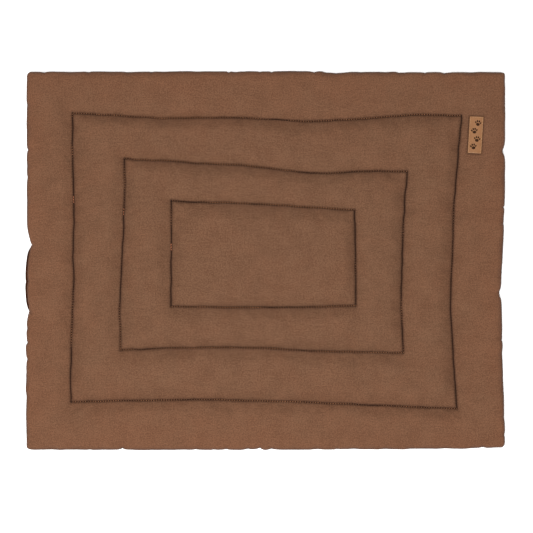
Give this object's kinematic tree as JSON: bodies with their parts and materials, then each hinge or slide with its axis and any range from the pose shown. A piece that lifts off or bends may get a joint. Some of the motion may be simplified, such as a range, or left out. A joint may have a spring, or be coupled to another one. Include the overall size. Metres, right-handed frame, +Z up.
{
  "type": "quilted pet mat",
  "caption": "Flat rectangular quilted floor mat for a pet, in woven cotton, with nested rectangular stitch lines and a small sewn-on label in one corner.",
  "frame": {"origin": "middle of the underside, on the floor", "axes": "+Z up through the thickness, +X along the long side towards the edge that the label is sewn beside, +Y along the short side towards the corner with the label"},
  "size_m": [0.95, 0.75, 0.0266],
  "materials": {
    "cover_cloth": "matt plain-woven cotton, brown",
    "wadding": "matt polyester fibre, off-white",
    "thread": "matt sewing thread, light reddish brown",
    "label_leather": "smooth satin leather, tan",
    "label_thread": "matt sewing thread, pale tan"
  },
  "bodies": {
    "root": {"top_cover": "cover_cloth", "bottom_cover": "cover_cloth", "wadding": "wadding", "edge_seam_needle_thread": "thread", "edge_seam_bobbin_thread": "thread", "outer_quilting_needle_thread": "thread", "outer_quilting_bobbin_thread": "thread", "middle_quilting_needle_thread": "thread", "middle_quilting_bobbin_thread": "thread", "inner_quilting_needle_thread": "thread", "inner_quilting_bobbin_thread": "thread", "turning_gap_thread": "thread", "label": "label_leather", "label_needle_thread": "label_thread", "label_bobbin_thread": "label_thread"}
  },
  "joints": []
}
